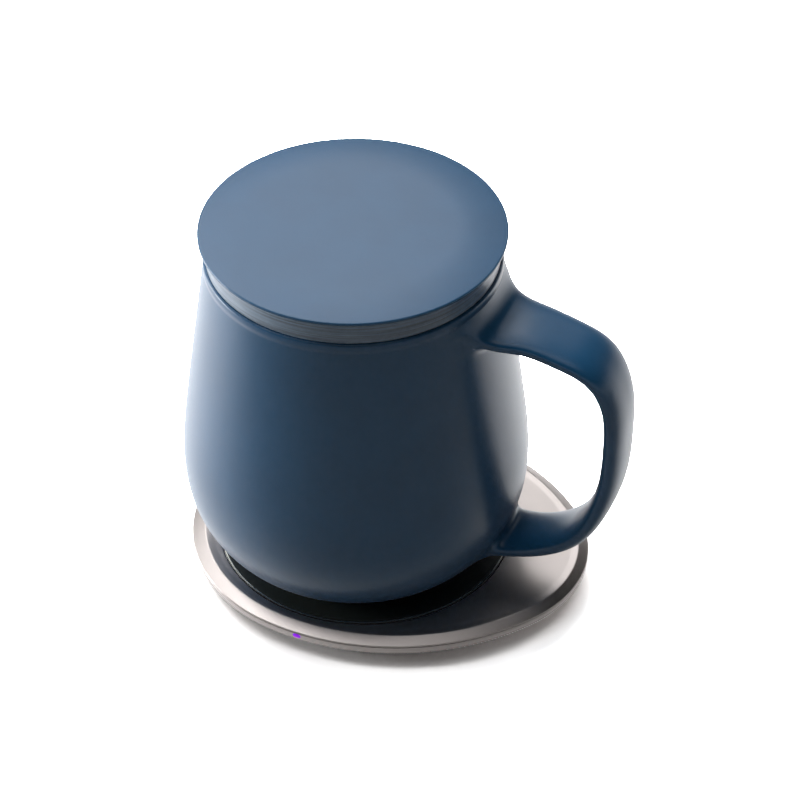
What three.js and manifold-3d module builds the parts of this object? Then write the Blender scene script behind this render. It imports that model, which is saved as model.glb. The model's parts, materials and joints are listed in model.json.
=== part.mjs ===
// A self-heating mug on its warming pad, in millimetres, +Z up.
// The origin is the middle of the pad's foot, under the middle of the round charging plate.
// +X runs along the pad to its long nose; the mug stands a little off the plate's middle.

import * as THREE from 'three';
import { mergeVertices } from 'three/addons/utils/BufferGeometryUtils.js';
import Module from 'manifold-3d';

const wasm = await Module();
wasm.setup();

// Pad outline: four arcs, a tail arc, a nose arc and two side arcs that touch both
const plateRadius = 40.3;
const tailRoom = 5.86;
const tailSetback = 2.54;
const noseDraw = 5.25;
const noseReach = 28.26;
const sideBow = 27;

// Pad heights
const footDrop = 2.2;
const footRecess = 0.5;
const shellFloor = 1.2;
const boardLift = 1.2;
const boardThickness = 1;
const componentRoom = 1.4;
const coverThickness = 1.2;
const glueThickness = 0.2;
const plateThickness = 1.2;
const plateProud = 0.15;
const crestRise = 0.15;

// Pad rim and walls
const chamferWidth = 3.15;
const chamferLean = 0.45;
const rimEdge = 0.3;
const slopeWidth = 1.2;
const wallThickness = 1.6;
const seamDepth = 0.45;
const seamHeight = 0.25;
const lipHeight = 1.1;
const underTuck = 8;
const footInset = 5.5;
const floorCoreShare = 0.25;

// Charging plate and its ring
const plugStep = 2.8;
const openingGap = 0.4;
const ringGap = 0.2;
const ringWidth = 0.5;
const ringBelow = 0.15;

// Coil stack
const coilInset = 11.3;
const coilBore = 10;
const coilThickness = 1.1;
const ferriteThickness = 0.6;
const ferriteMargin = 1;
const carrierMargin = 1;
const carrierThickness = 1;
const shieldGap = 0.3;
const shieldThickness = 0.4;
const postRadius = 3;
const sensorSize = 1.6;
const sensorHeight = 0.8;
const sensorPadThickness = 0.8;

// Board and what stands on it
const boardInset = 4.2;
const boardGap = 1;
const chipSize = 6;
const chipHeight = 0.9;
const driverLength = 4;
const driverWidth = 3;
const driverHeight = 0.8;
const driverPitch = 8;
const inductorSize = 6.4;
const inductorHeight = 1.2;
const capacitorLength = 3.2;
const capacitorWidth = 1.6;
const capacitorHeight = 1.1;
const capacitorInset = 9;
const capacitorBearings = [-58, -66, -74];
const partPitch = 8;

// USB-C socket
const socketWidth = 8.94;
const socketHeight = 3.2;
const socketLength = 7.35;
const socketWall = 0.3;
const socketSetback = 2.3;
const socketClearance = 0.3;
const tongueWidth = 6.7;
const tongueThickness = 0.7;
const tongueLength = 4.5;

// Status light
const lightTurn = 7.6;
const lightWidth = 2.4;
const lightHeight = 1.4;
const lightClearance = 0.15;
const lightBelowSeam = 1.1;
const lightProud = 0.1;
const ledDepth = 0.9;
const ledWidth = 2;
const ledHeight = 1.1;

// Case screws
const screwRadius = 1;
const screwHeadRadius = 1.9;
const screwHeadHeight = 1.1;
const screwClearance = 0.3;
const screwBite = 0.5;
const bossWall = 0.8;
const bossOverlap = 0.1;
const screwBearings = [40, 145, 215, 320];

// Mug, measured up from the plate
const mugOffsetX = -2.11;
const mugOffsetY = -0.78;
const handleTurn = -6.3;
const mugHeight = 95;
const bellyRadius = 47.4;
const bellyHeightShare = 0.32;
const mouthRadiusShare = 0.823;
const footRadiusShare = 0.65;
const bowlPower = 2.43;
const bowlRoot = 0.77;
const shoulderBend = 0.13;
const mugWall = 4.8;
const mugFloor = 5.5;
const innerFloorShare = 0.5;
const rimRound = 1.6;
const filmInset = 3;
const filmThickness = 0.4;
const filmGap = 0.6;
const filmRecess = 0.8;

// Handle: how far its centreline stands off the mug's side, its heights on the mug and its widths
const handleReach = 30;
const strapWidth = 17.1;
const strapThickness = 5.8;
const strapRoundness = 2.5;
const rootGap = 0.3;
const standOffShares = [-0.108, 0.058, 0.319, 0.615, 0.91, 1.032, 1.012, 0.916, 0.817, 0.623, 0.284, -0.152];
const handleUpShares = [0.925, 0.893, 0.885, 0.867, 0.826, 0.744, 0.589, 0.436, 0.346, 0.225, 0.143, 0.116];
const strapWidthShares = [1.66, 1.43, 1.2, 1.13, 1.08, 0.99, 0.95, 0.98, 1.03, 1.0, 1.01, 1.19];

// Lid
const lidGap = 0.3;
const lidHeight = 7.6;
const lidEdge = 0.9;
const lidEdgeRound = 0.3;
const crownRise = 0.6;
const crownWidth = 11;
const lidTuck = 1.8;
const lidOverhang = 1.4;
const plugClearance = 0.9;
const plugDepth = 7;
const plugWall = 3;
const lidThickness = 3.9;
const sealHeight = 2;
const sealDepth = 1;
const sealClearance = 0.3;
const sealAbove = 2;
const sealGap = 0.15;

// How finely round things are cut
const outlineSteps = 48;
const mugSteps = 44;
const roundSteps = 32;
const smallSteps = 12;
const curveSteps = 9;
const lowStationPower = 1.6;
const tuckSteps = 4;
const strapSteps = 22;
const strapSides = 16;

// Heights of the pad's layers, from the foot up
const shellBottom = footDrop;
const footTop = shellBottom + footRecess;
const shellTop = shellBottom + shellFloor;
const boardBottom = shellTop + boardLift;
const boardTop = boardBottom + boardThickness;
const coverBottom = boardTop + componentRoom;
const ledgeLevel = coverBottom + coverThickness;
const plateShoulder = ledgeLevel + glueThickness;
const plateTop = plateShoulder + plateThickness;
const floorLevel = plateTop - plateProud;
const crestHeight = floorLevel + crestRise;
const seamLevel = ledgeLevel - seamHeight;
const lipLevel = seamLevel - lipHeight;
const carrierTop = shellTop + carrierThickness;
const ferriteTop = carrierTop + ferriteThickness;
const coilTop = ferriteTop + coilThickness;
const plugRadius = plateRadius - plugStep;
const coilRadius = plateRadius - coilInset;

// The outline's arcs: centres on the pad's length, side centres found from the touching arcs
const tailRadius = plateRadius + tailRoom;
const noseRadius = plateRadius - noseDraw;
const sideRadius = plateRadius + sideBow;
const toTail = sideRadius - tailRadius;
const toNose = sideRadius - noseRadius;
const centreSpan = noseReach + tailSetback;
const sideAlong = (toTail ** 2 - toNose ** 2 + centreSpan ** 2) / (2 * centreSpan);
const sideCentreX = sideAlong - tailSetback;
const sideCentreY = Math.sqrt(toTail ** 2 - sideAlong ** 2);
const noseJoin = Math.atan2(sideCentreY, noseReach - sideCentreX);
const tailJoin = Math.atan2(sideCentreY, -tailSetback - sideCentreX);

// The outline's point whose outward normal has this bearing, drawn in by an inset
function outlinePoint(bearing, inset) {
  const turn = Math.atan2(Math.sin(bearing), Math.cos(bearing));
  const side = Math.sign(turn) || 1;
  const lean = Math.abs(turn);
  const onNose = lean <= noseJoin;
  const onTail = lean >= tailJoin;
  const x = onNose ? noseReach : onTail ? -tailSetback : sideCentreX;
  const y = onNose || onTail ? 0 : -side * sideCentreY;
  const radius = (onNose ? noseRadius : onTail ? tailRadius : sideRadius) - inset;
  return new THREE.Vector2(x + radius * Math.cos(turn), y + radius * Math.sin(turn));
}

// The outline as a flat shape
function outlineShape(inset) {
  const points = [];
  for (let step = 0; step < outlineSteps; step += 1) {
    points.push(outlinePoint((2 * Math.PI * step) / outlineSteps, inset));
  }
  return new THREE.Shape(points);
}

// Solids and geometries
function toSolid(geometry) {
  const bare = geometry.clone();
  bare.deleteAttribute('normal');
  bare.deleteAttribute('uv');
  const merged = mergeVertices(bare);
  return new wasm.Manifold(new wasm.Mesh({
    numProp: 3,
    vertProperties: new Float32Array(merged.attributes.position.array),
    triVerts: new Uint32Array(merged.index.array),
  }));
}

function toGeometry(solid) {
  const mesh = solid.getMesh();
  const geometry = new THREE.BufferGeometry();
  geometry.setAttribute('position', new THREE.BufferAttribute(mesh.vertProperties, 3));
  geometry.setIndex(new THREE.BufferAttribute(mesh.triVerts, 1));
  geometry.computeVertexNormals();
  return geometry;
}

function cut(geometry, ...tools) {
  return toGeometry(tools.reduce((solid, tool) => solid.subtract(toSolid(tool)), toSolid(geometry)));
}

function join(geometry, ...others) {
  return toGeometry(others.reduce((solid, other) => solid.add(toSolid(other)), toSolid(geometry)));
}

// A flat plate between two levels
function plate(shape, bottom, top) {
  const geometry = new THREE.ExtrudeGeometry(shape, {
    depth: top - bottom,
    bevelEnabled: false,
    curveSegments: roundSteps,
  });
  return geometry.translate(0, 0, bottom);
}

// A turned piece from a closed profile of [radius, height] pairs
function turned(profile, steps) {
  const points = profile.map(([radius, height]) => new THREE.Vector2(radius, height));
  return new THREE.LatheGeometry(points.concat(points[0].clone()), steps).rotateX(Math.PI / 2);
}

function disc(radius, bottom, top, steps) {
  return new THREE.CylinderGeometry(radius, radius, top - bottom, steps)
    .rotateX(Math.PI / 2)
    .translate(0, 0, (bottom + top) / 2);
}

function ring(inner, outer, bottom, top, steps) {
  return turned([[inner, bottom], [outer, bottom], [outer, top], [inner, top]], steps);
}

function block(length, width, bottom, top) {
  return new THREE.BoxGeometry(length, width, top - bottom).translate(0, 0, (bottom + top) / 2);
}

// A profile carried round the outline; each place is { inset, height } or { radius, height },
// and a lean narrows the inset towards the nose and widens it towards the tail
function swept(profile) {
  const places = profile.concat(profile[0]);
  const line = places.map((place, index) => new THREE.Vector2(1 + index, place.height));
  const geometry = new THREE.LatheGeometry(line, outlineSteps).rotateX(Math.PI / 2);
  const position = geometry.attributes.position;
  for (let index = 0; index < position.count; index += 1) {
    const place = places[index % places.length];
    const step = Math.floor(index / places.length) % outlineSteps;
    const bearing = (2 * Math.PI * step) / outlineSteps - Math.PI / 2;
    const round = new THREE.Vector2(Math.cos(bearing), Math.sin(bearing)).multiplyScalar(place.radius ?? 0);
    const inset = place.inset - (place.lean ?? 0) * Math.cos(bearing);
    const spot = place.radius === undefined ? outlinePoint(bearing, inset) : round;
    position.setXY(index, spot.x, spot.y);
  }
  return geometry;
}

// A flat-sided oval with round ends, standing upright in the XZ plane and centred on a level
function uprightOval(width, height, level) {
  const radius = height / 2;
  const reach = width / 2 - radius;
  const shape = new THREE.Shape();
  shape.absarc(reach, 0, radius, -Math.PI / 2, Math.PI / 2);
  shape.absarc(-reach, 0, radius, Math.PI / 2, 1.5 * Math.PI);
  return { shape, level };
}

// Such an oval pushed from the origin along +Y
function ovalBar({ shape, level }, from, to) {
  const options = { depth: to - from, bevelEnabled: false, curveSegments: smallSteps / 2 };
  return new THREE.ExtrudeGeometry(shape, options)
    .rotateX(Math.PI / 2)
    .translate(0, to, level);
}

// Materials
function material(color, roughness, metalness) {
  return new THREE.MeshStandardMaterial({ color, roughness, metalness });
}

const glazed = () => material(0x174a70, 0.42, 0);
const silverFilm = () => material(0xb9bcc0, 0.35, 0.9);
const softSilicone = () => material(0x1d2630, 0.8, 0);
const rimMetal = () => material(0xbfb1aa, 0.38, 0.85);
const ringBlack = () => material(0x2c2e2f, 0.3, 0);
const blackPlate = () => material(0x14171a, 0.5, 0);
const glue = () => material(0x202020, 0.9, 0);
const footSilicone = () => material(0x26282b, 0.85, 0);
const copper = () => material(0xb5653a, 0.4, 0.8);
const ferrite = () => material(0x303134, 0.7, 0.1);
const carrierPlastic = () => material(0xd9d6cf, 0.6, 0);
const shieldSheet = () => material(0xc9b37a, 0.7, 0);
const boardGreen = () => material(0x1f5a3a, 0.5, 0);
const chipBlack = () => material(0x1a1a1c, 0.6, 0);
const capacitorTan = () => material(0xa58a63, 0.55, 0);
const nickel = () => material(0xc4c6c8, 0.3, 1);
const lightPurple = () => material(0xa028ff, 0.3, 0);
const screwSteel = () => material(0x8d9094, 0.35, 1);

function piece(name, geometry, look) {
  const mesh = new THREE.Mesh(geometry, look);
  mesh.name = name;
  return mesh;
}

// How far in from both sides the middle of a rounded corner lies, as a share of its radius
const roundedShare = 1 - Math.SQRT1_2;

// Places round the outline, for what stands square to it
function atBearing(mesh, degrees, inset) {
  const bearing = THREE.MathUtils.degToRad(degrees);
  const spot = outlinePoint(bearing, inset);
  mesh.position.set(spot.x, spot.y, 0);
  mesh.rotation.z = bearing - Math.PI / 2;
  return mesh;
}

const lightBearing = -90 - lightTurn;
const socketBearing = 90;
const screwHole = screwRadius + screwClearance;
const headHole = screwHeadRadius + screwClearance;
const screwInset = footInset + headHole;
const screwSpots = screwBearings.map((degrees) => {
  return outlinePoint(THREE.MathUtils.degToRad(degrees), screwInset);
});

function atScrews(geometry) {
  return screwSpots.map((spot) => geometry.clone().translate(spot.x, spot.y, 0));
}

// A tool placed round the outline as a piece would be
function toolAt(geometry, degrees, inset) {
  const holder = atBearing(new THREE.Mesh(geometry), degrees, inset);
  holder.updateMatrix();
  return geometry.applyMatrix4(holder.matrix);
}

// Status light and socket openings, from outside the wall to inside it
const throughWall = 2 * wallThickness;
const socketLevel = shellTop + socketClearance + socketHeight / 2;
const lightLevel = seamLevel - lightBelowSeam;

function lightHole() {
  const oval = uprightOval(lightWidth + 2 * lightClearance, lightHeight + 2 * lightClearance, lightLevel);
  return toolAt(ovalBar(oval, -throughWall, throughWall), lightBearing, 0);
}

function socketHole() {
  const width = socketWidth + 2 * socketClearance;
  const oval = uprightOval(width, socketHeight + 2 * socketClearance, socketLevel);
  return toolAt(ovalBar(oval, -underTuck, throughWall), socketBearing, 0);
}

// Pad: cover, with its chamfered rim, flat floor and a stepped opening that seats the charging plate
const seatRadius = plateRadius + 2 * ringGap + ringWidth;

function trayCover() {
  const slopeFoot = chamferWidth + slopeWidth;
  const opening = plugRadius + openingGap;
  const underStep = seatRadius + coverThickness;
  const underFloor = ledgeLevel - 2 * bossOverlap;
  const lean = chamferLean;
  const body = swept([
    { inset: 0, height: seamLevel },
    { inset: 0, height: seamLevel + rimEdge },
    { inset: chamferWidth, height: crestHeight, lean },
    { inset: slopeFoot, height: floorLevel, lean },
    { radius: seatRadius, height: floorLevel },
    { radius: seatRadius, height: ledgeLevel },
    { radius: opening, height: ledgeLevel },
    { radius: opening, height: coverBottom },
    { radius: underStep, height: coverBottom },
    { radius: underStep, height: underFloor },
    { inset: slopeFoot, height: underFloor, lean },
    { inset: wallThickness + rimEdge, height: seamLevel },
  ]);
  const boss = disc(screwHole + bossWall, boardTop, ledgeLevel - bossOverlap, smallSteps);
  const hole = disc(screwHole, shellBottom, coverBottom + screwBite + screwClearance, smallSteps);
  return piece('tray_cover', cut(join(body, ...atScrews(boss)), ...atScrews(hole)), rimMetal());
}

// Pad: lower shell, with its tucked underside, foot recess, screw bosses and two wall openings
function baseShell() {
  const outside = [];
  const inside = [];
  for (let step = 0; step <= tuckSteps; step += 1) {
    const turn = (Math.PI / 2) * (step / tuckSteps);
    outside.push({
      inset: underTuck * (1 - Math.sin(turn)),
      height: lipLevel - (lipLevel - shellBottom) * Math.cos(turn),
    });
    inside.push({
      inset: wallThickness + underTuck * (1 - Math.cos(turn)),
      height: lipLevel - (lipLevel - shellTop) * Math.sin(turn),
    });
  }
  const wall = [
    { inset: 0, height: seamLevel - seamHeight },
    { inset: seamDepth, height: seamLevel - seamHeight },
    { inset: seamDepth, height: seamLevel },
    { inset: wallThickness, height: seamLevel },
  ];
  const middle = plugRadius * floorCoreShare;
  const rimPart = swept([...outside, ...wall, ...inside,
    { radius: middle, height: shellTop }, { radius: middle, height: shellBottom }]);
  const centre = disc(middle + boardGap, shellBottom, shellTop, outlineSteps);
  const boss = disc(headHole + bossWall, footTop, boardBottom, smallSteps);
  const recess = plate(outlineShape(footInset - openingGap), 0, footTop);
  const headRoom = disc(headHole, 0, footTop + screwHeadHeight + screwClearance, smallSteps);
  const shankRoom = disc(screwHole, 0, boardTop, smallSteps);
  const solid = join(rimPart, centre, ...atScrews(boss));
  return piece('base_shell', cut(solid, recess, ...atScrews(headRoom), ...atScrews(shankRoom),
    lightHole(), socketHole()), rimMetal());
}

function footPad() {
  return piece('foot_pad', plate(outlineShape(footInset), 0, footTop), footSilicone());
}

// Pad: charging plate, its glue and the ring round it
function chargingPlate() {
  const edge = ringBelow;
  return piece('charging_plate', turned([
    [0, coverBottom],
    [plugRadius, coverBottom],
    [plugRadius, plateShoulder],
    [plateRadius, plateShoulder],
    [plateRadius, plateTop - edge],
    [plateRadius - edge, plateTop],
    [0, plateTop],
  ], outlineSteps), blackPlate());
}

function plateGlue() {
  const inner = plugRadius + openingGap;
  return piece('plate_glue', ring(inner, plateRadius, ledgeLevel, plateShoulder, roundSteps), glue());
}

function plateRing() {
  const inner = plateRadius + ringGap;
  const outer = inner + ringWidth;
  return piece('plate_ring', turned([
    [inner, ledgeLevel],
    [outer, ledgeLevel],
    [outer, floorLevel],
    [inner, plateTop - ringBelow / 2],
  ], outlineSteps), ringBlack());
}

// Pad: coil stack
function coilStack() {
  const ferriteRadius = coilRadius + ferriteMargin;
  const carrierRadius = ferriteRadius + carrierMargin;
  const shieldBottom = coverBottom - shieldGap - shieldThickness;
  const postTop = coverBottom - sensorPadThickness - sensorHeight;
  const post = disc(postRadius, carrierTop, postTop, smallSteps);
  const carrier = join(disc(carrierRadius, shellTop, carrierTop, roundSteps), post);
  const sensor = block(sensorSize, sensorSize, postTop, postTop + sensorHeight);
  const sheet = ring(postRadius + carrierMargin, ferriteRadius, carrierTop, ferriteTop, roundSteps);
  return [
    piece('coil_carrier', carrier, carrierPlastic()),
    piece('ferrite_sheet', sheet, ferrite()),
    piece('heating_coil', ring(coilBore, coilRadius, ferriteTop, coilTop, roundSteps), copper()),
    piece('heat_shield', ring(coilBore, coilRadius, shieldBottom, shieldBottom + shieldThickness, roundSteps),
      shieldSheet()),
    piece('heat_sensor', sensor, chipBlack()),
    piece('sensor_pad', disc(postRadius, postTop + sensorHeight, coverBottom, smallSteps), glue()),
  ];
}

// Pad: ring-shaped board round the coil, notched for the socket and drilled for the screws
const boardHole = coilRadius + ferriteMargin + carrierMargin + boardGap;

function controlBoard() {
  const shape = outlineShape(boardInset);
  shape.holes.push(new THREE.Path().absarc(0, 0, boardHole, 0, 2 * Math.PI, true));
  const board = plate(shape, boardBottom, boardTop);
  const drill = disc(screwHole, boardBottom - boardGap, boardTop + boardGap, smallSteps);
  const notchWidth = socketWidth + 2 * socketClearance;
  const notchReach = socketSetback + socketLength + socketClearance;
  const notch = block(notchWidth, 2 * notchReach, boardBottom - boardGap, boardTop + boardGap);
  const cutBoard = cut(board, ...atScrews(drill), toolAt(notch, socketBearing, 0));
  return piece('control_board', cutBoard, boardGreen());
}

function boardPart(name, length, width, height, x, y, look) {
  const mesh = piece(name, block(length, width, boardTop, boardTop + height), look);
  mesh.position.set(x, y, 0);
  return mesh;
}

function boardParts() {
  const bay = (boardHole + noseReach + noseRadius - boardInset) / 2;
  const parts = [
    boardPart('controller_chip', chipSize, chipSize, chipHeight, bay, 0, chipBlack()),
    boardPart('power_inductor', inductorSize, inductorSize, inductorHeight, bay, -partPitch, ferrite()),
  ];
  [-1, 1].forEach((side, index) => {
    const x = bay + (side * driverPitch) / 2;
    parts.push(boardPart(`driver_chip_${index + 1}`, driverLength, driverWidth, driverHeight, x, partPitch,
      chipBlack()));
  });
  capacitorBearings.forEach((degrees, index) => {
    const body = block(capacitorWidth, capacitorLength, boardTop, boardTop + capacitorHeight);
    const capacitor = piece(`tank_capacitor_${index + 1}`, body, capacitorTan());
    parts.push(atBearing(capacitor, degrees, capacitorInset));
  });
  return parts;
}

// Pad: USB-C socket, a thin shell open at its mouth, and the tongue on its back wall
function usbSocket() {
  const rear = -socketSetback - socketLength;
  const inner = uprightOval(socketWidth - 2 * socketWall, socketHeight - 2 * socketWall, socketLevel);
  const can = cut(
    ovalBar(uprightOval(socketWidth, socketHeight, socketLevel), rear, -socketSetback),
    ovalBar(inner, rear + socketWall, throughWall),
  );
  const tongue = new THREE.BoxGeometry(tongueWidth, tongueLength, tongueThickness)
    .translate(0, rear + socketWall + tongueLength / 2, socketLevel);
  return [
    atBearing(piece('usb_socket', can, nickel()), socketBearing, 0),
    atBearing(piece('usb_tongue', tongue, chipBlack()), socketBearing, 0),
  ];
}

// Pad: status light, a clear guide through the wall and the diode behind it
function statusLight() {
  const oval = uprightOval(lightWidth, lightHeight, lightLevel);
  const guideRear = -boardInset;
  const diodeFront = guideRear - lightClearance;
  const diode = block(ledWidth, ledDepth, boardTop, boardTop + ledHeight)
    .translate(0, diodeFront - ledDepth / 2, 0);
  return [
    atBearing(piece('light_guide', ovalBar(oval, guideRear, lightProud), lightPurple()), lightBearing, 0),
    atBearing(piece('led_chip', diode, carrierPlastic()), lightBearing, 0),
  ];
}

// Pad: case screws, driven up from under the foot
function caseScrews() {
  const headBottom = footTop;
  const headTop = headBottom + screwHeadHeight;
  const profile = [
    [0, headBottom],
    [screwHeadRadius, headBottom],
    [screwHeadRadius, headTop],
    [screwRadius, headTop],
    [screwRadius, coverBottom + screwBite],
    [0, coverBottom + screwBite],
  ];
  return screwSpots.map((spot, index) => {
    const screw = piece(`case_screw_${index + 1}`, turned(profile, smallSteps), screwSteel());
    screw.position.set(spot.x, spot.y, 0);
    return screw;
  });
}

// Mug: the radius of a bowl that opens from its base to the belly and narrows to the mouth
const bellyHeight = mugHeight * bellyHeightShare;
const mouthRadius = bellyRadius * mouthRadiusShare;
const footRadius = bellyRadius * footRadiusShare;
const filmRadius = footRadius - filmInset;

// Level at the belly, then an even slope above it
function leanIn(climb) {
  return Math.hypot(climb, shoulderBend) - shoulderBend;
}

function bowlRadius(height, base, baseRadius, skin) {
  const belly = bellyRadius - skin;
  if (height < bellyHeight) {
    const left = (bellyHeight - height) / (bellyHeight - base);
    return baseRadius + (belly - baseRadius) * (1 - left ** bowlPower) ** bowlRoot;
  }
  const climb = (height - bellyHeight) / (mugHeight - bellyHeight);
  return belly - (bellyRadius - mouthRadius) * (leanIn(climb) / leanIn(1));
}

// Stations from a base to the rim, closer together low down
function bowlSide(base, top, baseRadius, skin) {
  const stations = [];
  for (let step = 0; step <= curveSteps; step += 1) {
    const share = (step / curveSteps) ** lowStationPower;
    const height = base + (top - base) * share;
    stations.push([bowlRadius(height, base, baseRadius, skin), height]);
  }
  return stations;
}

const sideTop = mugHeight - rimRound;

function mugBody() {
  const outer = bowlSide(0, sideTop, footRadius, 0);
  const inner = bowlSide(mugFloor, sideTop, footRadius * innerFloorShare, mugWall).reverse();
  const corner = rimRound * roundedShare;
  const recessRadius = filmRadius + filmGap;
  return piece('mug_body', turned([
    [0, filmRecess],
    [recessRadius, filmRecess],
    [recessRadius, 0],
    ...outer,
    [mouthRadius - corner, mugHeight - corner],
    [mouthRadius - rimRound, mugHeight],
    [mouthRadius - mugWall + rimRound, mugHeight],
    [mouthRadius - mugWall + corner, mugHeight - corner],
    ...inner,
    [0, mugFloor],
  ], mugSteps), glazed());
}

// Handle: its centreline, with the strap's half width carried in y
function handleLine() {
  return new THREE.CatmullRomCurve3(handleUpShares.map((upShare, index) => {
    const up = upShare * mugHeight;
    const out = bowlRadius(up, 0, footRadius, 0) + standOffShares[index] * handleReach;
    return new THREE.Vector3(out, (strapWidthShares[index] * strapWidth) / 2, up);
  }));
}

// Handle: a strap bent along the centreline, wide where it grows out of the mug
function handleStrap() {
  const sides = [];
  for (let side = 0; side < strapSides; side += 1) {
    const turn = (2 * Math.PI * side) / strapSides;
    const power = 2 / strapRoundness;
    sides.push(new THREE.Vector2(
      Math.sign(Math.cos(turn)) * Math.abs(Math.cos(turn)) ** power,
      Math.sign(Math.sin(turn)) * Math.abs(Math.sin(turn)) ** power,
    ));
  }
  const strap = new THREE.ExtrudeGeometry(new THREE.Shape(sides), {
    depth: 1,
    steps: strapSteps,
    bevelEnabled: false,
  });
  const line = handleLine();
  const position = strap.attributes.position;
  for (let index = 0; index < position.count; index += 1) {
    const along = position.getZ(index);
    const centre = line.getPoint(along);
    const heading = line.getTangent(along).setY(0).normalize();
    const wide = -position.getX(index) * centre.y;
    const thick = (position.getY(index) * strapThickness) / 2;
    position.setXYZ(index, centre.x + heading.z * thick, wide, centre.z - heading.x * thick);
  }
  return strap.rotateZ(THREE.MathUtils.degToRad(handleTurn));
}

// Handle: the strap, cut to the mug's side where it is luted on
function mugHandle() {
  const side = bowlSide(0, sideTop, footRadius + rootGap, -rootGap);
  const mug = turned([[0, 0], ...side, [0, sideTop]], mugSteps);
  return piece('mug_handle', cut(handleStrap(), mug), glazed());
}

function heatingFilm() {
  const film = disc(filmRadius, filmRecess - filmThickness, filmRecess, roundSteps);
  return piece('heating_film', film, silverFilm());
}

// Lid: a shallow cap over the rim with a hollow plug, and the soft ring in the plug's groove
const lidBottom = mugHeight + lidGap;
const lidTop = lidBottom + lidHeight;
const lidRadius = mouthRadius + lidOverhang;
const lidPlugRadius = mouthRadius - mugWall - plugClearance;
const plugBottom = lidBottom - plugDepth;
const sealBottom = plugBottom + sealAbove;

function lidBody() {
  const skirt = lidRadius - lidTuck;
  const groove = lidPlugRadius - sealDepth;
  return piece('lid_body', turned([
    [0, lidTop + crownRise],
    [0, lidTop - lidThickness],
    [lidPlugRadius - plugWall, lidTop - lidThickness],
    [lidPlugRadius - plugWall, plugBottom],
    [lidPlugRadius, plugBottom],
    [lidPlugRadius, sealBottom],
    [groove, sealBottom],
    [groove, sealBottom + sealHeight],
    [lidPlugRadius, sealBottom + sealHeight],
    [lidPlugRadius, lidBottom],
    [skirt, lidBottom],
    [skirt, lidTop - lidEdge],
    [lidRadius - lidEdgeRound, lidTop - lidEdge],
    [lidRadius, lidTop - lidEdge + lidEdgeRound],
    [lidRadius, lidTop - lidEdgeRound],
    [lidRadius - lidEdgeRound, lidTop],
    [lidRadius - crownWidth, lidTop + crownRise],
  ], mugSteps), glazed());
}

function lidSeal() {
  const inner = lidPlugRadius - sealDepth + sealGap;
  const outer = mouthRadius - mugWall - sealClearance;
  const bottom = sealBottom + sealGap;
  const top = sealBottom + sealHeight - sealGap;
  return piece('lid_seal', turned([
    [inner, bottom],
    [lidPlugRadius, bottom],
    [outer, (bottom + top) / 2],
    [lidPlugRadius, top],
    [inner, top],
  ], mugSteps), softSilicone());
}

// Assembly
const pad = new THREE.Group();
pad.add(baseShell(), footPad(), trayCover(), chargingPlate(), plateGlue(), plateRing(), ...coilStack());
pad.add(controlBoard(), ...boardParts(), ...usbSocket(), ...statusLight(), ...caseScrews());

const mug = new THREE.Group();
mug.position.set(mugOffsetX, mugOffsetY, plateTop);
mug.add(mugBody(), mugHandle(), heatingFilm(), lidBody(), lidSeal());

const group = new THREE.Group();
group.add(pad, mug);

export default group;
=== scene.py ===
# The looks of a self-heating mug on its warming pad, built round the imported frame.
# Lengths are metres in the frame's axes: +X to the pad's nose, +Z up, the status light towards -Y.

import json
import math

import bmesh
import bpy
import numpy as np
from mathutils import Matrix, Vector

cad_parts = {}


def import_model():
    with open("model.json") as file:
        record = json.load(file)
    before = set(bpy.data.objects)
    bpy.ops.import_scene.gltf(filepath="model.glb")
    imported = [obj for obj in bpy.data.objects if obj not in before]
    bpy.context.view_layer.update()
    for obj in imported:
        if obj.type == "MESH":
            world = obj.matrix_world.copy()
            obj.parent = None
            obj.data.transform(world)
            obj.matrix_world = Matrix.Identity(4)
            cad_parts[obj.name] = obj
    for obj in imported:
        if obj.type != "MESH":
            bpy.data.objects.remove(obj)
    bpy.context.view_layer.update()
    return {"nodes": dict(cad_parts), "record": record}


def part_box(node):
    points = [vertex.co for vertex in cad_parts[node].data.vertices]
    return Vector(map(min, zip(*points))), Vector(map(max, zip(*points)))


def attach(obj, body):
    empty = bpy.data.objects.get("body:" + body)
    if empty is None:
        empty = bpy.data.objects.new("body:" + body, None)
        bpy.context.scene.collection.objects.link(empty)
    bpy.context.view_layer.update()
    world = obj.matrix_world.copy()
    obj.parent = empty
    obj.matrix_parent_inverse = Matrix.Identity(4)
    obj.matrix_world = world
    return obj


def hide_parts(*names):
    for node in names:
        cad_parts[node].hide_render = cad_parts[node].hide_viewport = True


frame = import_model()

MM = 0.001


# Places and sizes read from the frame
def low(node):
    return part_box(node)[0]


def high(node):
    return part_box(node)[1]


PLATE_TOP = high("charging_plate").z
PLATE_RADIUS = high("charging_plate").x
LEDGE = low("plate_glue").z
COVER_BOTTOM = low("charging_plate").z
SEAM = high("base_shell").z
CREST = high("tray_cover").z
RING_OUTER = high("plate_ring").x
SHELL_BOTTOM = low("base_shell").z
FOOT_TOP = high("foot_pad").z
LID_TOP = high("lid_body").z
LID_RADIUS = (high("lid_body").x - low("lid_body").x) / 2
MUG_AXIS = (low("lid_body") + high("lid_body")) / 2
MUG_BASE = low("mug_body").z
MUG_HEIGHT = high("mug_body").z - MUG_BASE


# Meshes
def mesh_object(name, vertices, faces):
    mesh = bpy.data.meshes.new(name)
    mesh.from_pydata([tuple(v) for v in vertices], [], faces)
    mesh.validate()
    mesh.update()
    obj = bpy.data.objects.new(name, mesh)
    bpy.context.scene.collection.objects.link(obj)
    shade(obj)
    return obj


def shade(obj, smooth_angle=35):
    mesh = obj.data
    bm = bmesh.new()
    bm.from_mesh(mesh)
    bmesh.ops.recalc_face_normals(bm, faces=bm.faces)
    bm.to_mesh(mesh)
    bm.free()
    mesh.shade_smooth()
    mesh.set_sharp_from_angle(angle=math.radians(smooth_angle))


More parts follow.
